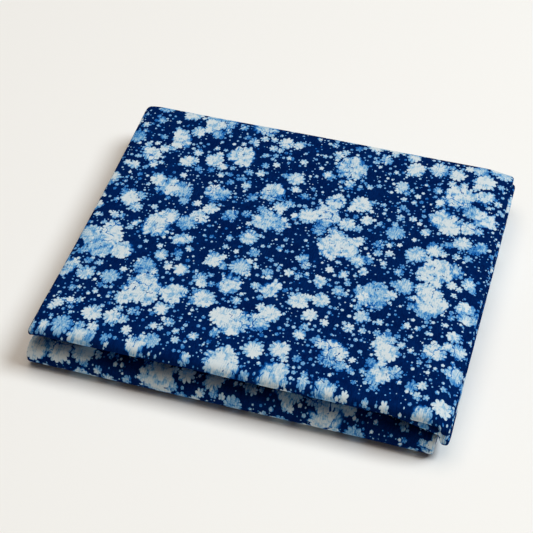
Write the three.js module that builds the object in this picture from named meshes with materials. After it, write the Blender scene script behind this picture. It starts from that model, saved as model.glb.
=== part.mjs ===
// A length of indigo resist-dyed cotton, folded for the shelf.
// Both selvedges are turned to the middle of the width, and the doubled strip is then folded
// back and forth along its length into eight layers that lie a little apart.
// Millimetres, +Z up. The cloth lies on z = 0 with its two front folds facing -Y.
import * as THREE from "three";
import { mergeVertices } from "three/addons/utils/BufferGeometryUtils.js";

// Driving dimensions
const foldedWidth = 290; // left fold to right fold of an average layer
const foldedDepth = 250; // front fold of the lower half to the back of the spine
const sheetThickness = 1.5;
const plyPitch = 2.8; // between the two plies of the doubled strip
const layerPitch = 5.7; // between one layer of the strip and the next
const selvedgeGap = 6; // between the two selvedges, hidden inside the strip
const spineRadius = 14; // of the spine's lower and upper corner
const lipSetback = 1.6; // front of the upper lip behind the front of the lower half
const tuckSetback = 10; // front of the fold hidden under the lip
const innerFoldDepth = 110.5; // centre of the folds inside the spine, back from the middle
const looseEndDepth = 105; // the two cut ends, inside the stack

// Unevenness
const lipReach = 34; // the front of the upper half sinks over this length
const cornerReach = 7; // its right end hangs over the shorter lower half
const advanceReach = 50; // its hidden fold comes forward over this width
const leftWaist = 1.4; // the left side is drawn in halfway along
const spineTaper = 2.2; // both sides are drawn in at the spine
const leftSag = { reach: 16, share: 0.035 }; // the stack is thinner towards its side folds
const rightSag = { reach: 24, share: 0.07 };

// Where the sides of each layer lie, right of the nominal sides, at the front and at the back.
// At its front fold, how far the right end comes forward, the fold sinks, and the right end hangs
const layers = [
  { frontLeft: -4, frontRight: -7.5, backLeft: 3, backRight: 0, advance: 0.5, dip: 0, droop: 0 },
  { frontLeft: -3.5, frontRight: -7.5, backLeft: 2.5, backRight: 1, advance: 0.5, dip: 0, droop: 0 },
  { frontLeft: -3, frontRight: -7, backLeft: 2.5, backRight: 0.5, advance: 0.5, dip: 0, droop: 0 },
  { frontLeft: -2.5, frontRight: -6, backLeft: 3, backRight: 1, advance: 0.5, dip: 0, droop: 0 },
  { frontLeft: 4, frontRight: 1.5, backLeft: 4, backRight: 3, advance: 7, dip: 0.8, droop: 5.5 },
  { frontLeft: 3, frontRight: 2.5, backLeft: 3.5, backRight: 2.5, advance: 7, dip: 1.4, droop: 5.2 },
  { frontLeft: -1.2, frontRight: 2, backLeft: 3, backRight: 3.5, advance: 0, dip: 2, droop: 4.6 },
  { frontLeft: 1.8, frontRight: 1.5, backLeft: 2.5, backRight: 1.5, advance: 0, dip: 2, droop: 4.2 },
];

// Soft swells and hollows of the whole stack, as a share of its height
const swells = [
  { x: -95, y: 95, reach: 70, rise: -0.02 },
  { x: 65, y: 60, reach: 60, rise: -0.012 },
  { x: 20, y: 0, reach: 80, rise: 0.014 },
  { x: -110, y: -45, reach: 55, rise: -0.014 },
  { x: -30, y: -100, reach: 45, rise: 0.018 },
  { x: 85, y: -95, reach: 40, rise: -0.014 },
];

const stripHalf = plyPitch / 2 + sheetThickness / 2;
const layerHeight = (layer) => stripHalf + layerPitch * (layer - 1);
const sideFold = foldedWidth / 2 - stripHalf; // centre of the side folds
const { lerp, smoothstep } = THREE.MathUtils;

// Points along a list of curves, each with the normal to the left of its direction and how far
// it has gone from the offsets at the start of its curve to those at the end
function trace(pieces) {
  const stations = [];
  for (const [index, piece] of pieces.entries()) {
    for (let step = index === 0 ? 0 : 1; step <= piece.spans; step += 1) {
      const along = step / piece.spans;
      const at = piece.curve.getPoint(along);
      const tangent = piece.curve.getTangent(along);
      const mix = piece.ease ? piece.ease(along) : along;
      stations.push({ at, left: new THREE.Vector2(-tangent.y, tangent.x), mix, piece });
    }
  }
  return stations;
}

const straight = (fromA, fromB, toA, toB) =>
  new THREE.LineCurve(new THREE.Vector2(fromA, fromB), new THREE.Vector2(toA, toB));

// Section across the width, from selvedge to selvedge: x, and height in the doubled strip
function widthSection() {
  const ply = plyPitch / 2;
  const leftZone = -sideFold + 2 * leftSag.reach;
  const rightZone = sideFold - advanceReach;
  const overhang = foldedWidth / 2 - cornerReach;
  const slit = selvedgeGap / 2;
  const level = (fromX, toX, height, spans) => ({
    curve: straight(fromX, height, toX, height),
    spans,
  });
  const turn = (x, start) => ({
    curve: new THREE.EllipseCurve(x, 0, ply, ply, start, -start, true),
    spans: 4,
  });
  return trace([
    level(-slit, leftZone, -ply, 2),
    level(leftZone, -sideFold, -ply, 2),
    turn(-sideFold, -Math.PI / 2),
    level(-sideFold, leftZone, ply, 2),
    level(leftZone, rightZone, ply, 4),
    level(rightZone, overhang, ply, 4),
    level(overhang, sideFold, ply, 2),
    turn(sideFold, Math.PI / 2),
    level(sideFold, overhang, -ply, 2),
    level(overhang, rightZone, -ply, 4),
    level(rightZone, slit, -ply, 2),
  ]);
}

// Section along the length, from cut end to cut end: y and z of the middle of the strip
function lengthSection() {
  const lowerFront = -foldedDepth / 2 + (layerHeight(4) - layerHeight(1)) / 2 + stripHalf;
  const lipFront = -foldedDepth / 2 + lipSetback + layerPitch / 2 + stripHalf;
  const tuckFront = -foldedDepth / 2 + tuckSetback + layerPitch / 2 + stripHalf;
  const spine = foldedDepth / 2 - spineRadius - stripHalf;
  const front = (layer) => {
    const { frontLeft, frontRight, advance, dip, droop } = layers[layer - 1];
    return { left: frontLeft, right: frontRight, advance, dip, droop };
  };
  const back = (layer) => {
    const { backLeft, backRight, dip } = layers[layer - 1];
    return { left: backLeft, right: backRight, advance: 0, dip, droop: 0 };
  };
  const forward = (layer, fromY, toY, spans) => ({
    curve: straight(fromY, layerHeight(layer), toY, layerHeight(layer)),
    start: back(layer),
    end: front(layer),
    ease: (along) => along ** 2,
    spans,
  });
  const backward = (layer, fromY, toY, spans) => ({
    curve: straight(fromY, layerHeight(layer), toY, layerHeight(layer)),
    start: front(layer),
    end: back(layer),
    ease: (along) => 1 - (1 - along) ** 2,
    spans,
  });
  const turn = (y, from, to, atFront, spans) => {
    const centre = (layerHeight(from) + layerHeight(to)) / 2;
    const radius = Math.abs(layerHeight(from) - layerHeight(to)) / 2;
    const start = from > to ? Math.PI / 2 : -Math.PI / 2;
    const clockwise = atFront ? from < to : from > to;
    const ends = atFront ? front : back;
    return {
      curve: new THREE.EllipseCurve(y, centre, radius, radius, start, -start, clockwise),
      start: ends(from),
      end: ends(to),
      spans,
    };
  };
  const corner = (layer, z, start, end) => ({
    curve: new THREE.EllipseCurve(spine, z, spineRadius, spineRadius, start, end, false),
    start: back(layer),
    end: back(layer),
    spans: 4,
  });
  const lowCorner = layerHeight(1) + spineRadius;
  const highCorner = layerHeight(8) - spineRadius;
  const face = spine + spineRadius;
  const spineFace = {
    curve: straight(face, lowCorner, face, highCorner),
    start: back(1),
    end: back(8),
    spans: 1,
  };
  return trace([
    forward(2, looseEndDepth, lowerFront, 3),
    turn(lowerFront, 2, 3, true, 4),
    backward(3, lowerFront, innerFoldDepth, 3),
    turn(innerFoldDepth, 3, 4, false, 4),
    forward(4, innerFoldDepth, lowerFront, 3),
    turn(lowerFront, 4, 1, true, 8),
    backward(1, lowerFront, spine, 3),
    corner(1, lowCorner, -Math.PI / 2, 0),
    spineFace,
    corner(8, highCorner, 0, Math.PI / 2),
    forward(8, spine, lipFront, 8),
    turn(lipFront, 8, 7, true, 6),
    backward(7, lipFront, innerFoldDepth, 6),
    turn(innerFoldDepth, 7, 6, false, 4),
    forward(6, innerFoldDepth, tuckFront, 5),
    turn(tuckFront, 6, 5, true, 4),
    backward(5, tuckFront, looseEndDepth, 5),
  ]);
}

// The side and fold offsets of one station along the length
function offsetsAt(station) {
  const { start, end } = station.piece;
  const between = (key) => lerp(start[key], end[key], station.mix);
  return {
    left: between("left"),
    right: between("right"),
    advance: between("advance"),
    dip: between("dip"),
    droop: between("droop"),
  };
}

// A point of the flat slab, carried through both foldings, then settled unevenly. Heights scale
// with the stack or sink in its upper half only, so the underside stays flat.
function foldedPoint(across, station, side) {
  const offset = (side * sheetThickness) / 2;
  const stripX = across.at.x + offset * across.left.x;
  const rise = across.at.y + offset * across.left.y;
  const offsets = offsetsAt(station);
  const halfWidth = foldedWidth / 2;
  const halfDepth = foldedDepth / 2;
  const forward = offsets.advance * smoothstep(stripX, sideFold - advanceReach, sideFold);
  const y = station.at.x - station.left.x * rise - forward;
  let x = stripX + lerp(offsets.left, offsets.right, stripX / foldedWidth + 0.5);
  let z = station.at.y - station.left.y * rise;

  const toRight = smoothstep(x, halfWidth - rightSag.reach, halfWidth);
  const toLeft = smoothstep(-x, halfWidth - leftSag.reach, halfWidth);
  let share = 1 - rightSag.share * toRight ** 2 - leftSag.share * toLeft ** 2;
  for (const swell of swells) {
    const away = ((x - swell.x) ** 2 + (y - swell.y) ** 2) / swell.reach ** 2;
    share += swell.rise * Math.exp(-away);
  }
  z *= share;
  z -= offsets.dip * smoothstep(-y, halfDepth - lipReach, halfDepth) ** 2;
  z -= offsets.droop * smoothstep(stripX, halfWidth - cornerReach, halfWidth);

  const middle = 1 - (y / halfDepth) ** 2;
  const toSpine = smoothstep(y, halfDepth - spineRadius, halfDepth);
  x += leftWaist * middle * smoothstep(-x, 0, halfWidth);
  x -= spineTaper * toSpine ** 2 * (stripX / halfWidth);
  return new THREE.Vector3(x, y, z);
}

// The cut length as a slab with one grid square for each pair of stations, then folded
function foldedCloth() {
  const across = widthSection();
  const lengthwise = lengthSection();
  const columns = across.length - 1;
  const rows = lengthwise.length - 1;
  let slab = new THREE.BoxGeometry(columns, rows, 1, columns, rows, 1);
  slab.deleteAttribute("normal");
  slab.deleteAttribute("uv");
  slab = mergeVertices(slab);
  const points = slab.getAttribute("position");
  for (let index = 0; index < points.count; index += 1) {
    const column = Math.round(points.getX(index) + columns / 2);
    const row = Math.round(points.getY(index) + rows / 2);
    const side = -2 * points.getZ(index);
    const folded = foldedPoint(across[column], lengthwise[row], side);
    points.setXYZ(index, folded.x, folded.y, Math.max(folded.z, 0));
  }
  slab.computeVertexNormals();
  return slab;
}

const dyedCotton = new THREE.MeshStandardMaterial({ color: 0x1c4a93, roughness: 0.9, metalness: 0 });
const cloth = new THREE.Mesh(foldedCloth(), dyedCotton);
cloth.name = "adire_cloth";

const part = new THREE.Group();
part.add(cloth);

export default part;
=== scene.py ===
"""A length of indigo resist-dyed adire cotton, folded into a stack and lying on a pale floor."""
import math
from typing import NamedTuple

import bpy
from mathutils import Matrix, Vector


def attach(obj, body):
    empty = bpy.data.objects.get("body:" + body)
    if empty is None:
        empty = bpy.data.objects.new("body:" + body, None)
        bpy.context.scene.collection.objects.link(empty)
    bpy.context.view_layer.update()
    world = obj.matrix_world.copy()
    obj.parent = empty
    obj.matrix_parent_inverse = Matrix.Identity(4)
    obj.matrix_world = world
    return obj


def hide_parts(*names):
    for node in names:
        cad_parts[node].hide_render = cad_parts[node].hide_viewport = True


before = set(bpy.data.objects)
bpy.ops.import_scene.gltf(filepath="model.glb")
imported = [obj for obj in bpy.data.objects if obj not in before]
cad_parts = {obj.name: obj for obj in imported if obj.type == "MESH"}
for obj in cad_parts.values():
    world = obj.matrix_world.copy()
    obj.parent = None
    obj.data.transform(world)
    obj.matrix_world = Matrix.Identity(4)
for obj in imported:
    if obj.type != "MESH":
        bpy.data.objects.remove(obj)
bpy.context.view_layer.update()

MM = 0.001

# Sizes of the folded cloth, in metres
FOLDED_WIDTH = 290 * MM
FOLDED_DEPTH = 250 * MM
STRIP_THICKNESS = 4.3 * MM  # of the doubled strip, over both plies
SHEET_THICKNESS = 0.8 * MM
LAYER_PITCH = 5.7 * MM
SELVEDGE_GAP = 6 * MM
SPINE_RADIUS = 14 * MM
LIP_SETBACK = 1.6 * MM
TUCK_SETBACK = 10 * MM
INNER_FOLD_DEPTH = 110.5 * MM
LOOSE_END_DEPTH = 105 * MM

# Unevenness of the stack
LIP_REACH = 34 * MM
CORNER_REACH = 8 * MM
CORNER_FLAT = 4.2 * MM
CORNER_DROOP = 8.5 * MM
ADVANCE_REACH = 50 * MM
LEFT_WAIST = 1.4 * MM
SPINE_TAPER = 2.2 * MM
LEFT_SAG_REACH, LEFT_SAG_SHARE = 16 * MM, 0.035
RIGHT_SAG_REACH, RIGHT_SAG_SHARE = 24 * MM, 0.07


class Layer(NamedTuple):
    """One layer of the stack: its side offsets, in millimetres, and how its front fold lies.

    The front fold comes forward at the right, dips, and droops there by a share of the whole."""
    front_left: float
    front_right: float
    back_left: float
    back_right: float
    advance: float
    dip: float
    droop: float


LAYERS = (
    Layer(-4, -7.5, 3, 0, 0.5, 0, 0),
    Layer(-3.5, -7.5, 2.5, 1, 0.5, 0, 0),
    Layer(-3, -7, 2.5, 0.5, 0.5, 0, 0),
    Layer(-2.5, -6, 3, 1, 0.5, 0, 0),
    Layer(4, 1.5, 4, 3, 7, 0.8, 1.0),
    Layer(3, 2.5, 3.5, 2.5, 7, 1.4, 0.97),
    Layer(-1.2, 2, 3, 3.5, 0, 2, 0.85),
    Layer(1.8, 1.5, 2.5, 1.5, 0, 2, 0.76),
)


class Swell(NamedTuple):
    """A soft swell or hollow of the whole stack: place and reach in millimetres, share of height."""
    x: float
    y: float
    reach: float
    rise: float


SWELLS = (
    Swell(-95, 95, 70, -0.02),
    Swell(65, 60, 60, -0.012),
    Swell(20, 0, 80, 0.014),
    Swell(-110, -45, 55, -0.014),
    Swell(-30, -100, 45, 0.018),
    Swell(85, -95, 40, -0.014),
)


class Crease(NamedTuple):
    """A soft trough or ridge on the upper side: middle, turn in degrees, sizes in millimetres."""
    x: float
    y: float
    turn: float
    length: float
    width: float
    rise: float


CREASES = (
    Crease(-60, -104, 6, 70, 5, -0.5),
    Crease(40, -108, -4, 60, 4, -0.45),
    Crease(105, -98, 24, 34, 5, -0.6),
    Crease(-122, -92, -32, 36, 6, -0.6),
    Crease(-20, 30, 82, 90, 9, 0.35),
    Crease(70, -10, 104, 80, 8, -0.35),
    Crease(-95, 20, 74, 70, 8, -0.3),
    Crease(112, 70, 62, 50, 7, -0.5),
    Crease(-70, 96, 12, 60, 6, -0.4),
    Crease(30, 98, -8, 80, 6, 0.35),
)

STRIP_HALF = STRIP_THICKNESS / 2
PLY = (STRIP_THICKNESS - SHEET_THICKNESS) / 2  # from the middle of the strip to each ply
HALF_WIDTH = FOLDED_WIDTH / 2
HALF_DEPTH = FOLDED_DEPTH / 2
SIDE_FOLD = HALF_WIDTH - STRIP_HALF
QUARTER = math.pi / 2


def lerp(a, b, share):
    return a + (b - a) * share


def smoothstep(value, low, high):
    share = min(max((value - low) / (high - low), 0.0), 1.0)
    return share * share * (3 - 2 * share)


def layer_height(layer):
    return STRIP_HALF + LAYER_PITCH * (layer - 1)


class Station(NamedTuple):
    """A point of a section, the side to its right, its length from the start, and its offsets."""
    a: float
    b: float
    right_a: float
    right_b: float
    run: float
    offsets: Layer


class Level:
    """A straight stretch of a section."""

    def __init__(self, from_a, from_b, to_a, to_b):
        self.start = (from_a, from_b)
        self.step = (to_a - from_a, to_b - from_b)
        self.length = math.hypot(*self.step)

    def at(self, share):
        a = self.start[0] + self.step[0] * share
        b = self.start[1] + self.step[1] * share
        return a, b, self.step[1] / self.length, -self.step[0] / self.length


class Bend:
    """A round stretch of a section, swept from one angle by another."""

    def __init__(self, a, b, radius, start, sweep):
        self.centre = (a, b)
        self.radius = radius
        self.start = start
        self.sweep = sweep
        self.length = radius * abs(sweep)

    def at(self, share):
        angle = self.start + self.sweep * share
        side = math.copysign(1, self.sweep)
        a = self.centre[0] + self.radius * math.cos(angle)
        b = self.centre[1] + self.radius * math.sin(angle)
        return a, b, side * math.cos(angle), side * math.sin(angle)


def trace(pieces):
    """Stations along pieces of (curve, spans, offsets at a share)."""
    stations = []
    run = 0.0
    for curve, spans, offsets in pieces:
        for step in range(1 if stations else 0, spans + 1):
            share = step / spans
            stations.append(Station(*curve.at(share), run + curve.length * share, offsets(share)))
        run += curve.length
    return stations


def width_section():
    """From selvedge to selvedge: x, and height in the doubled strip."""
    def plain(share):
        return None

    slit = SELVEDGE_GAP / 2
    overhang = HALF_WIDTH - CORNER_REACH
    return trace([
        (Level(-slit, -PLY, -SIDE_FOLD, -PLY), 18, plain),
        (Bend(-SIDE_FOLD, 0, PLY, -QUARTER, -math.pi), 8, plain),
        (Level(-SIDE_FOLD, PLY, overhang, PLY), 96, plain),
        (Level(overhang, PLY, SIDE_FOLD, PLY), 10, plain),
        (Bend(SIDE_FOLD, 0, PLY, QUARTER, -math.pi), 8, plain),
        (Level(SIDE_FOLD, -PLY, overhang, -PLY), 8, plain),
        (Level(overhang, -PLY, slit, -PLY), 16, plain),
    ])


def length_section():
    """From cut end to cut end: y and z of the middle of the strip."""
    lower_front = -HALF_DEPTH + (layer_height(4) - layer_height(1)) / 2 + STRIP_HALF
    lip_front = -HALF_DEPTH + LIP_SETBACK + LAYER_PITCH / 2 + STRIP_HALF
    tuck_front = -HALF_DEPTH + TUCK_SETBACK + LAYER_PITCH / 2 + STRIP_HALF
    spine = HALF_DEPTH - SPINE_RADIUS - STRIP_HALF

    def front(layer):
        return LAYERS[layer - 1]

    def back(layer):
        row = LAYERS[layer - 1]
        return row._replace(front_left=row.back_left, front_right=row.back_right, advance=0, droop=0)

    def between(start, end, ease=lambda share: share):
        return lambda share: Layer(*(lerp(a, b, ease(share)) for a, b in zip(start, end)))

    def forward(layer, from_y, to_y, spans):
        z = layer_height(layer)
        offsets = between(back(layer), front(layer), lambda share: share ** 2)
        return Level(from_y, z, to_y, z), spans, offsets

    def backward(layer, from_y, to_y, spans):
        z = layer_height(layer)
        offsets = between(front(layer), back(layer), lambda share: 1 - (1 - share) ** 2)
        return Level(from_y, z, to_y, z), spans, offsets

    def turn(y, start, end, at_front, spans):
        middle = (layer_height(start) + layer_height(end)) / 2
        radius = abs(layer_height(start) - layer_height(end)) / 2
        angle = QUARTER if start > end else -QUARTER
        clockwise = (start < end) if at_front else (start > end)
        ends = front if at_front else back
        bend = Bend(y, middle, radius, angle, -math.pi if clockwise else math.pi)
        return bend, spans, between(ends(start), ends(end))

    low = layer_height(1) + SPINE_RADIUS
    high = layer_height(8) - SPINE_RADIUS
    face = spine + SPINE_RADIUS
    return trace([
        forward(2, LOOSE_END_DEPTH, lower_front, 10),
        turn(lower_front, 2, 3, True, 8),
        backward(3, lower_front, INNER_FOLD_DEPTH, 12),
        turn(INNER_FOLD_DEPTH, 3, 4, False, 8),
        forward(4, INNER_FOLD_DEPTH, lower_front, 16),
        turn(lower_front, 4, 1, True, 20),
        backward(1, lower_front, spine, 24),
        (Bend(spine, low, SPINE_RADIUS, -QUARTER, QUARTER), 10, between(back(1), back(1))),
        (Level(face, low, face, high), 6, between(back(1), back(8))),
        (Bend(spine, high, SPINE_RADIUS, 0, QUARTER), 10, between(back(8), back(8))),
        forward(8, spine, lip_front, 84),
        turn(lip_front, 8, 7, True, 12),
        backward(7, lip_front, INNER_FOLD_DEPTH, 24),
        turn(INNER_FOLD_DEPTH, 7, 6, False, 8),
        forward(6, INNER_FOLD_DEPTH, tuck_front, 18),
        turn(tuck_front, 6, 5, True, 8),
        backward(5, tuck_front, LOOSE_END_DEPTH, 16),
    ])


def crease_rise(x, y):
    """How far the listed creases lift or lower the upper side at a place."""
    rise = 0.0
    for crease in CREASES:
        turn = math.radians(crease.turn)
        across_x = x / MM - crease.x
        across_y = y / MM - crease.y
        along = across_x * math.cos(turn) + across_y * math.sin(turn)
        off = across_y * math.cos(turn) - across_x * math.sin(turn)
        fade = math.exp(-((2 * along / crease.length) ** 4))
        rise += crease.rise * fade * math.exp(-((off / crease.width) ** 2))
    return rise * MM


def folded_point(across, station):
    """A point of the flat cloth carried through both foldings, then settled unevenly."""
    strip_x, rise = across.a, across.b
    row = station.offsets
    to_front = smoothstep(strip_x, SIDE_FOLD - ADVANCE_REACH, SIDE_FOLD)
    y = station.a + station.right_a * rise - row.advance * MM * to_front
    x = strip_x + lerp(row.front_left, row.front_right, strip_x / FOLDED_WIDTH + 0.5) * MM
    z = station.b + station.right_b * rise

    to_right = smoothstep(x, HALF_WIDTH - RIGHT_SAG_REACH, HALF_WIDTH)
    to_left = smoothstep(-x, HALF_WIDTH - LEFT_SAG_REACH, HALF_WIDTH)
    share = 1 - RIGHT_SAG_SHARE * to_right ** 2 - LEFT_SAG_SHARE * to_left ** 2
    for swell in SWELLS:
        away = ((x / MM - swell.x) ** 2 + (y / MM - swell.y) ** 2) / swell.reach ** 2
        share += swell.rise * math.exp(-away)
    share += crease_rise(x, y) / layer_height(8)
    z *= share
    z -= row.dip * MM * smoothstep(-y, HALF_DEPTH - LIP_REACH, HALF_DEPTH) ** 2
    to_corner = smoothstep(strip_x, HALF_WIDTH - CORNER_REACH, HALF_WIDTH - CORNER_FLAT)
    z -= CORNER_DROOP * row.droop ** 2 * to_corner

    middle = 1 - (y / HALF_DEPTH) ** 2
    to_spine = smoothstep(y, HALF_DEPTH - SPINE_RADIUS, HALF_DEPTH)
    x += LEFT_WAIST * middle * smoothstep(-x, 0, HALF_WIDTH)
    x -= SPINE_TAPER * to_spine ** 2 * strip_x / HALF_WIDTH
    return Vector((x, y, z))


def fold_cloth():
    """The flat cut length as a grid, folded in code, with its flat place kept as a UV map."""
    across = width_section()
    lengthwise = length_section()
    columns = len(across) - 1
    rows = len(lengthwise) - 1
    bpy.ops.object.select_all(action="DESELECT")
    bpy.ops.mesh.primitive_grid_add(x_subdivisions=columns, y_subdivisions=rows, size=1)
    cloth = bpy.context.active_object
    cloth.name = cloth.data.name = "folded_adire_cloth"
    mesh = cloth.data
    places = []
    for vertex in mesh.vertices:
        column = round((vertex.co.x + 0.5) * columns)
        row = round((vertex.co.y + 0.5) * rows)
        places.append((column, row))
        vertex.co = folded_point(across[column], lengthwise[row])
    flat = mesh.uv_layers[0]
    flat.name = "flat_cloth"
    for loop in mesh.loops:
        column, row = places[loop.vertex_index]
        flat.data[loop.index].uv = (across[column].run, lengthwise[row].run)
    solidify = cloth.modifiers.new("sheet_thickness", "SOLIDIFY")
    solidify.thickness = SHEET_THICKNESS
    solidify.offset = 0
    bpy.ops.object.modifier_apply(modifier=solidify.name)
    bpy.ops.object.shade_smooth()
    return cloth, (across[-1].run, lengthwise[-1].run)


# Resist print of the cotton: lengths in metres, tones from 0 (full dye) to 1 (bare cloth)
PATTERN_START = (31 * MM, 42 * MM, 0.0)  # where in the pattern the cloth was cut
JAG_SIZE, JAG_REACH = 2.2 * MM, 0.16 * MM
GATHER_FROM, GATHER_FULL = -6 * MM, 1 * MM  # flowers fill up from just outside a clump

# One spot
SIZE_LEAN = 1.4  # above 1, small spots outnumber large ones
FEWEST_LOBES = 5.0
LOBE_ROUNDNESS = 0.8
LOBE_TURN = 9.0
DEEPEST_NOTCH = 0.42  # as a share of the spot's radius
ABSENT_SHRINK = 14 * MM  # how much smaller a spot is where none is printed
TONE_DRAW, FAINT_UP_TO, PALE_FROM = 7.3, 0.05, 0.55
WANDER_SHARE = 0.45  # size of the wander, as a share of the pitch

# Dye that crept under the resist
PATCH_SIZE, PATCH_LOW, PATCH_HIGH = 15 * MM, 0.44, 0.66
EDGE_OUT, EDGE_IN, CREPT_EDGE = -0.08 * MM, 0.12 * MM, -0.4 * MM
SPOT_RIM, CREPT_SPOT_RIM = 0.8 * MM, 4.5 * MM
CLUMP_EDGE, CLUMP_RIM, CREPT_CLUMP_RIM = -0.3 * MM, 1.2 * MM, 6 * MM
RIM_TONE, CORE_TONE = 0.58, 1.04
NOTCH_SHADE, NOTCH_SHARPNESS = -0.2, 3.0
MOTTLE_SIZE, MOTTLE_LOW, MOTTLE_HIGH = 5 * MM, 0.42, 0.68
MOTTLE_SHADE, UNMOTTLED = -0.44, 1.09
FLECK_EDGE_OUT, FLECK_EDGE_IN, FLECK_SHADE = -0.25 * MM, 0.3 * MM, 0.75

# Dark lines: seams between neighbouring spots, and veins where the paste cracked
SEAM_CORE, SEAM_EDGE = 0.2 * MM, 1.0 * MM
SEAM_PATCH, SEAM_LOW, SEAM_HIGH = 11 * MM, 0.38, 0.58
SEAM_FAINT, SEAM_DARK = 0.25, 0.92
VEIN_PITCH, VEIN_CORE, VEIN_EDGE = 12 * MM, 0.1 * MM, 0.7 * MM
VEIN_WANDER_SIZE, VEIN_WANDER = 5 * MM, 3.2 * MM
VEIN_PATCH, VEIN_LOW, VEIN_HIGH, VEIN_DARK = 30 * MM, 0.55, 0.68, 0.75

# Threads and ground
STROKE_SIZE, STROKE_SQUEEZE, STROKE_ROUGHNESS = 0.8 * MM, 0.2, 0.6
WARP_SHARE, WEFT_SHARE = 0.72, 0.28
GROUND_UP_TO, BARE_FROM = 0.05, 0.5
GROUND_FRAY, BARE_FRAY = 0.22, 1.25
GROUND_PATCH, GROUND_LIFT, GROUND_BASE = 14 * MM, 0.12, 0.03
THREAD_PITCH, THREAD_SHARE = 0.55 * MM, 0.35
SLUB_SIZE, SLUB_REACH = 6 * MM, 0.12 * MM
RELIEF_HEIGHT, RELIEF_STRENGTH = 0.25 * MM, 0.5


class Spots(NamedTuple):
    """One size of resist spots, in millimetres, the share of places that hold one, and its tones."""
    pitch: float
    smallest: float
    largest: float
    share: float
    lobe_width: float
    lobe_depth: float
    wander: float
    faint: float
    pale: float


CLUMPS = Spots(40, 8, 15.5, 0.84, 6.0, 1.9, 5.5, 0.60, 0.88)
FLOWERS = Spots(16.5, 3.8, 8.8, 0.58, 4.0, 1.8, 1.4, 0.52, 0.98)
FLORETS = Spots(9.2, 1.8, 4.2, 0.52, 3.2, 1.5, 0.4, 0.50, 0.95)
DOTS = Spots(4.7, 0.8, 1.7, 0.43, 2.6, 0.25, 0.0, 0.56, 1.0)
SPECKS = Spots(2.8, 0.40, 0.70, 0.31, 9.0, 0.0, 0.0, 0.60, 1.0)
FLECKS = Spots(4.2, 0.3, 0.8, 0.16, 9.0, 0.0, 0.5, 0.0, 1.0)

DYE = (
    (0.0, (0.0003, 0.0085, 0.064)),
    (0.10, (0.0008, 0.0210, 0.120)),
    (0.24, (0.004, 0.095, 0.39)),
    (0.42, (0.062, 0.26, 0.56)),
    (0.60, (0.22, 0.43, 0.64)),
    (0.80, (0.42, 0.57, 0.68)),
    (1.0, (0.63, 0.70, 0.735)),
)

SPOT_INPUTS = ("Pitch", "Smallest", "Largest", "Share", "Lobe Width", "Lobe Depth", "Gather")
SPOT_OUTPUTS = ("Edge", "Whiteness", "Notch", "Seam")


# Node helpers

def feed(tree, socket, value):
    """Joins a socket to another, or sets its value."""
    if isinstance(value, bpy.types.NodeSocket):
        tree.links.new(value, socket)
    else:
        socket.default_value = value


def calc(tree, operation, *values):
    node = tree.nodes.new("ShaderNodeMath")
    node.operation = operation
    for socket, value in zip(node.inputs, values):
        feed(tree, socket, value)
    return node.outputs[0]


def vector_calc(tree, operation, *values):
    node = tree.nodes.new("ShaderNodeVectorMath")
    node.operation = operation
    for socket, value in zip(node.inputs, values):
        feed(tree, socket, value)
    return node.outputs["Value" if operation == "LENGTH" else "Vector"]


def scaled(tree, vector, factor):
    node = tree.nodes.new("ShaderNodeVectorMath")
    node.operation = "SCALE"
    feed(tree, node.inputs[0], vector)
    feed(tree, node.inputs["Scale"], factor)
    return node.outputs["Vector"]


def parts_of(tree, vector):
    node = tree.nodes.new("ShaderNodeSeparateXYZ")
    feed(tree, node.inputs[0], vector)
    return node.outputs["X"], node.outputs["Y"]


def remap(tree, value, low, high, to_low=0.0, to_high=1.0, smooth=True):
    node = tree.nodes.new("ShaderNodeMapRange")
    node.interpolation_type = "SMOOTHSTEP" if smooth else "LINEAR"
    for socket, number in zip(node.inputs, (value, low, high, to_low, to_high)):
        feed(tree, socket, number)
    return node.outputs[0]


def noise(tree, vector, size, detail=2.0, rough=0.5, output="Fac"):
    """Soft noise whose features are about size metres across."""
    node = tree.nodes.new("ShaderNodeTexNoise")
    node.noise_dimensions = "2D"
    feed(tree, node.inputs["Vector"], vector)
    node.inputs["Scale"].default_value = 1 / size
    node.inputs["Detail"].default_value = detail
    node.inputs["Roughness"].default_value = rough
    return node.outputs[output]


def flat_cells(tree, feature, vector, scale):
    node = tree.nodes.new("ShaderNodeTexVoronoi")
    node.voronoi_dimensions = "2D"
    node.feature = feature
    feed(tree, node.inputs["Vector"], vector)
    feed(tree, node.inputs["Scale"], scale)
    return node.outputs


def wandered(tree, vector, size, reach, detail=2.0):
    """The place moved about by noise of that size, by up to reach metres."""
    colour = noise(tree, vector, size, detail, output="Color")
    centred = vector_calc(tree, "SUBTRACT", colour, (0.5, 0.5, 0.5))
    return vector_calc(tree, "ADD", vector, scaled(tree, centred, 2 * reach))


# Resist print

def leading(tree, first, second):
    """Of two sets of spots, at each place the one whose edge lies further out."""
    ahead = calc(tree, "GREATER_THAN", second[0], first[0])
    chosen = [remap(tree, ahead, 0.0, 1.0, a, b, smooth=False) for a, b in zip(first[1:], second[1:])]
    return (calc(tree, "MAXIMUM", first[0], second[0]), *chosen)


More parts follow.
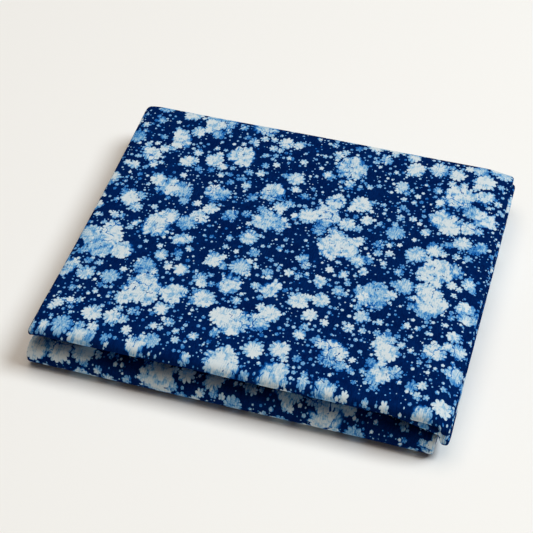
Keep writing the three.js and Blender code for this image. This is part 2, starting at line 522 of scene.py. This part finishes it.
def one_spot(tree, given, feature, density, shyness):
    """The nearest or second nearest scalloped spot: its edge, whiteness and notches."""
    cells = flat_cells(tree, feature, given["Place"], density)
    draw = tree.nodes.new("ShaderNodeSeparateColor")
    feed(tree, draw.inputs[0], cells["Color"])
    red, green, blue = draw.outputs
    away = vector_calc(tree, "SUBTRACT", given["Place"], cells["Position"])
    away_x, away_y = parts_of(tree, away)
    distance = vector_calc(tree, "LENGTH", away)
    angle = calc(tree, "ARCTAN2", away_y, away_x)
    spread = calc(tree, "POWER", red, SIZE_LEAN)
    radius = remap(tree, spread, 0.0, 1.0, given["Smallest"], given["Largest"], smooth=False)
    girth = calc(tree, "MULTIPLY", radius, 2 * math.pi)
    fitting = calc(tree, "ROUND", calc(tree, "DIVIDE", girth, given["Lobe Width"]))
    half_lobes = calc(tree, "MULTIPLY", calc(tree, "MAXIMUM", fitting, FEWEST_LOBES), 0.5)
    turned = calc(tree, "MULTIPLY_ADD", angle, half_lobes, calc(tree, "MULTIPLY", blue, LOBE_TURN))
    wave = calc(tree, "POWER", calc(tree, "ABSOLUTE", calc(tree, "COSINE", turned)), LOBE_ROUNDNESS)
    notch = calc(tree, "SUBTRACT", 1.0, wave)
    deepest = calc(tree, "MULTIPLY", radius, DEEPEST_NOTCH)
    depth = calc(tree, "MINIMUM", given["Lobe Depth"], deepest)
    reach = calc(tree, "SUBTRACT", radius, calc(tree, "MULTIPLY", notch, depth))
    edge = calc(tree, "SUBTRACT", reach, distance)
    absent = calc(tree, "GREATER_THAN", green, given["Share"])
    edge = calc(tree, "SUBTRACT", edge, calc(tree, "MULTIPLY", absent, shyness))
    white = calc(tree, "FRACT", calc(tree, "MULTIPLY", blue, TONE_DRAW))
    return edge, white, notch


def resist_group():
    """Scattered scalloped resist spots. Edge is the depth inside a spot, in metres."""
    tree = bpy.data.node_groups.new("resist_spots", "ShaderNodeTree")
    face = tree.interface
    face.new_socket("Place", in_out="INPUT", socket_type="NodeSocketVector")
    for name in SPOT_INPUTS:
        face.new_socket(name, in_out="INPUT", socket_type="NodeSocketFloat")
    for name in SPOT_OUTPUTS:
        face.new_socket(name, in_out="OUTPUT", socket_type="NodeSocketFloat")
    given = tree.nodes.new("NodeGroupInput").outputs
    result = tree.nodes.new("NodeGroupOutput").inputs
    density = calc(tree, "DIVIDE", 1.0, given["Pitch"])
    shyness = calc(tree, "MULTIPLY", calc(tree, "SUBTRACT", 1.0, given["Gather"]), ABSENT_SHRINK)
    nearest = one_spot(tree, given, "F1", density, shyness)
    second = one_spot(tree, given, "F2", density, shyness)
    seam = calc(tree, "ABSOLUTE", calc(tree, "SUBTRACT", nearest[0], second[0]))
    for name, value in zip(SPOT_OUTPUTS, (*leading(tree, nearest, second), seam)):
        feed(tree, result[name], value)
    return tree


def spot_layer(tree, spots_tree, place, spots, gather=0.0):
    """One size of spots: its edge, tone, notches and the seams between its spots."""
    group = tree.nodes.new("ShaderNodeGroup")
    group.node_tree = spots_tree
    moved = wandered(tree, place, spots.pitch * WANDER_SHARE * MM, spots.wander * MM)
    feed(tree, group.inputs["Place"], moved)
    feed(tree, group.inputs["Gather"], gather)
    group.inputs["Share"].default_value = spots.share
    lengths = {
        "Pitch": spots.pitch,
        "Smallest": spots.smallest,
        "Largest": spots.largest,
        "Lobe Width": spots.lobe_width,
        "Lobe Depth": spots.lobe_depth,
    }
    for key, length in lengths.items():
        group.inputs[key].default_value = length * MM
    edge, white, notch, seam = (group.outputs[key] for key in SPOT_OUTPUTS)
    tone = remap(tree, white, FAINT_UP_TO, PALE_FROM, spots.faint, spots.pale)
    return edge, tone, notch, seam


def away_from_seams(tree, place, seam):
    """1 away from the dark seams between neighbouring spots, which come and go."""
    line = remap(tree, seam, SEAM_CORE, SEAM_EDGE, 1.0, 0.0)
    patches = remap(tree, noise(tree, place, SEAM_PATCH), SEAM_LOW, SEAM_HIGH, SEAM_FAINT, SEAM_DARK)
    return calc(tree, "SUBTRACT", 1.0, calc(tree, "MULTIPLY", line, patches))


def away_from_veins(tree, place):
    """1 away from thin dark lines where the paste cracked, in some parts of the cloth."""
    moved = wandered(tree, place, VEIN_WANDER_SIZE, VEIN_WANDER)
    cells = flat_cells(tree, "DISTANCE_TO_EDGE", moved, 1 / VEIN_PITCH)
    off_line = calc(tree, "MULTIPLY", cells["Distance"], VEIN_PITCH)
    line = remap(tree, off_line, VEIN_CORE, VEIN_EDGE, 1.0, 0.0)
    patches = remap(tree, noise(tree, place, VEIN_PATCH, 1.0), VEIN_LOW, VEIN_HIGH, 0.0, VEIN_DARK)
    return calc(tree, "SUBTRACT", 1.0, calc(tree, "MULTIPLY", line, patches))


def bare_cloth(tree, place):
    """How far the resist kept the dye out: 0 in the ground, about 1 in bare cloth."""
    spots_tree = resist_group()
    jagged = wandered(tree, place, JAG_SIZE, JAG_REACH, 1.0)

    # Printed spots, from the large clumps down to the specks
    clump_edge, clump_tone, *_ = spot_layer(tree, spots_tree, jagged, CLUMPS)
    gather = remap(tree, clump_edge, GATHER_FROM, GATHER_FULL)
    printed = spot_layer(tree, spots_tree, jagged, FLOWERS, gather)
    for spots, where in ((FLORETS, jagged), (DOTS, place), (SPECKS, place)):
        printed = leading(tree, printed, spot_layer(tree, spots_tree, where, spots))
    edge, tone, notch, seam = printed

    # Dye that crept in from their edges, in soft patches
    bleed = remap(tree, noise(tree, place, PATCH_SIZE, 3.0, 0.6), PATCH_LOW, PATCH_HIGH)
    cover = remap(tree, edge, calc(tree, "MULTIPLY_ADD", bleed, CREPT_EDGE, EDGE_OUT), EDGE_IN)
    rim = calc(tree, "MULTIPLY_ADD", bleed, CREPT_SPOT_RIM, SPOT_RIM)
    tone = calc(tree, "MULTIPLY", tone, remap(tree, edge, 0.0, rim, RIM_TONE, CORE_TONE))
    tone = calc(tree, "MULTIPLY_ADD", calc(tree, "POWER", notch, NOTCH_SHARPNESS), NOTCH_SHADE, tone)
    clump_rim = calc(tree, "MULTIPLY_ADD", bleed, CREPT_CLUMP_RIM, CLUMP_RIM)
    clump_cover = remap(tree, clump_edge, CLUMP_EDGE, clump_rim)
    spot_bare = calc(tree, "MULTIPLY", tone, cover)
    clump_bare = calc(tree, "MULTIPLY", clump_tone, clump_cover)
    bare = calc(tree, "MAXIMUM", spot_bare, clump_bare)

    # Mottling, dark lines and flecks
    mottle = remap(tree, noise(tree, place, MOTTLE_SIZE, 3.0, 0.58), MOTTLE_LOW, MOTTLE_HIGH)
    bare = calc(tree, "MULTIPLY", bare, calc(tree, "MULTIPLY_ADD", mottle, MOTTLE_SHADE, UNMOTTLED))
    bare = calc(tree, "MULTIPLY", bare, away_from_seams(tree, place, seam))
    bare = calc(tree, "MULTIPLY", bare, away_from_veins(tree, jagged))
    fleck_edge, *_ = spot_layer(tree, spots_tree, jagged, FLECKS)
    fleck = remap(tree, fleck_edge, FLECK_EDGE_OUT, FLECK_EDGE_IN)
    fleck = calc(tree, "MULTIPLY", fleck, calc(tree, "MULTIPLY", mottle, FLECK_SHADE))
    return calc(tree, "MULTIPLY", bare, calc(tree, "SUBTRACT", 1.0, fleck))


# Cotton

def thread_strokes(tree, place):
    """Fine strokes along the threads of both directions, above and below nought."""
    along_warp = vector_calc(tree, "MULTIPLY", place, (1.0, STROKE_SQUEEZE, 1.0))
    along_weft = vector_calc(tree, "MULTIPLY", place, (STROKE_SQUEEZE, 1.0, 1.0))
    warp = noise(tree, along_warp, STROKE_SIZE, 2.0, STROKE_ROUGHNESS)
    weft = noise(tree, along_weft, STROKE_SIZE, 2.0, STROKE_ROUGHNESS)
    strokes = calc(tree, "MULTIPLY_ADD", warp, WARP_SHARE, calc(tree, "MULTIPLY", weft, WEFT_SHARE))
    return calc(tree, "SUBTRACT", strokes, 0.5)


def dyed_colour(tree, place, strokes):
    """The colour of the dye, from the navy ground to the bare cloth, frayed along the threads."""
    bare = bare_cloth(tree, place)
    loose = remap(tree, bare, GROUND_UP_TO, BARE_FROM, GROUND_FRAY, BARE_FRAY)
    fray = calc(tree, "MULTIPLY", strokes, loose)
    ground = calc(tree, "MULTIPLY", noise(tree, place, GROUND_PATCH, 4.0, 0.65), GROUND_LIFT)
    ground = calc(tree, "SUBTRACT", ground, GROUND_BASE)
    ramp = tree.nodes.new("ShaderNodeValToRGB")
    while len(ramp.color_ramp.elements) < len(DYE):
        ramp.color_ramp.elements.new(0.5)
    for element, (position, colour) in zip(ramp.color_ramp.elements, DYE):
        element.position = position
        element.color = (*colour, 1.0)
    feed(tree, ramp.inputs[0], calc(tree, "ADD", calc(tree, "ADD", bare, fray), ground))
    return ramp.outputs[0]


def thread_relief(tree, place, strokes):
    """The plain weave's small relief, as a normal."""
    across, along = parts_of(tree, wandered(tree, place, SLUB_SIZE, SLUB_REACH))
    warp = calc(tree, "SINE", calc(tree, "MULTIPLY", across, 2 * math.pi / THREAD_PITCH))
    weft = calc(tree, "SINE", calc(tree, "MULTIPLY", along, 2 * math.pi / THREAD_PITCH))
    weave = calc(tree, "MULTIPLY", warp, weft)
    bump = tree.nodes.new("ShaderNodeBump")
    bump.inputs["Strength"].default_value = RELIEF_STRENGTH
    bump.inputs["Distance"].default_value = RELIEF_HEIGHT
    feed(tree, bump.inputs["Height"], calc(tree, "MULTIPLY_ADD", weave, THREAD_SHARE, strokes))
    return bump.outputs[0]


def dyed_cotton():
    """Plain-woven cotton: navy ground, pale mottled resist spots, slubs and thread relief."""
    material = bpy.data.materials.new("dyed_cotton")
    material.use_nodes = True
    tree = material.node_tree
    cloth = tree.nodes["Principled BSDF"]
    flat = tree.nodes.new("ShaderNodeUVMap")
    flat.uv_map = "flat_cloth"
    place = vector_calc(tree, "ADD", flat.outputs["UV"], PATTERN_START)
    strokes = thread_strokes(tree, place)
    feed(tree, cloth.inputs["Base Color"], dyed_colour(tree, place, strokes))
    feed(tree, cloth.inputs["Normal"], thread_relief(tree, place, strokes))
    cloth.inputs["Roughness"].default_value = 0.95
    cloth.inputs["Specular IOR Level"].default_value = 0.0
    return material


# Stage, light and camera

FLOOR_SIZE = 8.0
DAYLIGHT = (0.87, 0.95, 1.0)
WARM_WHITE = (1.0, 0.88, 0.76)
LIGHT_AIM = (0.0, 0.0, 0.02)
CAMERA_AZIMUTH, CAMERA_ELEVATION, CAMERA_ROLL = 16.51, 46.54, -0.28  # in degrees
CAMERA_DISTANCE = 1.0929
CAMERA_TARGET = (-15.8 * MM, 13.4 * MM, 0.0)
CAMERA_LENS = 99.9


def pale_floor():
    bpy.ops.object.select_all(action="DESELECT")
    bpy.ops.mesh.primitive_plane_add(size=FLOOR_SIZE)
    floor = bpy.context.active_object
    floor.name = "pale_floor"
    paper = bpy.data.materials.new("pale_paper")
    paper.use_nodes = True
    finish = paper.node_tree.nodes["Principled BSDF"]
    finish.inputs["Base Color"].default_value = (0.88, 0.87, 0.85, 1.0)
    finish.inputs["Roughness"].default_value = 0.9
    finish.inputs["Specular IOR Level"].default_value = 0.1
    floor.data.materials.append(paper)


def soft_light(name, place, size, watts, colour):
    lamp = bpy.data.lights.new(name, "AREA")
    lamp.shape = "DISK"
    lamp.size = size
    lamp.energy = watts
    lamp.color = colour
    holder = bpy.data.objects.new(name, lamp)
    holder.location = place
    direction = Vector(LIGHT_AIM) - Vector(place)
    holder.rotation_euler = direction.to_track_quat("-Z", "Y").to_euler()
    bpy.context.scene.collection.objects.link(holder)


def studio_light():
    soft_light("window", place=(2.2, 0.5, 3.5), size=1.8, watts=136, colour=DAYLIGHT)
    soft_light("overhead", place=(-0.2, 0.1, 3.4), size=2.5, watts=50, colour=WARM_WHITE)
    world = bpy.data.worlds.new("studio")
    world.use_nodes = True
    sky = world.node_tree.nodes["Background"]
    sky.inputs["Color"].default_value = (*WARM_WHITE, 1.0)
    sky.inputs["Strength"].default_value = 0.10
    bpy.context.scene.world = world


def photo_camera():
    """The camera of the photograph, from its direction, distance and lens."""
    azimuth = math.radians(CAMERA_AZIMUTH)
    elevation = math.radians(CAMERA_ELEVATION)
    roll = math.radians(CAMERA_ROLL)
    level = math.cos(elevation)
    back = Vector((math.sin(azimuth) * level, -math.cos(azimuth) * level, math.sin(elevation)))
    side = Vector((0, 0, 1)).cross(back).normalized()
    up = back.cross(side)
    right = side * math.cos(roll) + up * math.sin(roll)
    top = up * math.cos(roll) - side * math.sin(roll)
    data = bpy.data.cameras.new("photo_camera")
    data.sensor_width = 36.0
    data.lens = CAMERA_LENS
    camera = bpy.data.objects.new("photo_camera", data)
    turn = Matrix((right, top, back)).transposed().to_4x4()
    place = Vector(CAMERA_TARGET) + back * CAMERA_DISTANCE
    camera.matrix_world = Matrix.Translation(place) @ turn
    bpy.context.scene.collection.objects.link(camera)
    bpy.context.scene.camera = camera


photo_camera()
cloth, flat_size = fold_cloth()
cloth.data.materials.clear()
cloth.data.materials.append(dyed_cotton())
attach(cloth, "root")
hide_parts("adire_cloth")
pale_floor()
studio_light()
bpy.context.scene.view_settings.view_transform = "Standard"
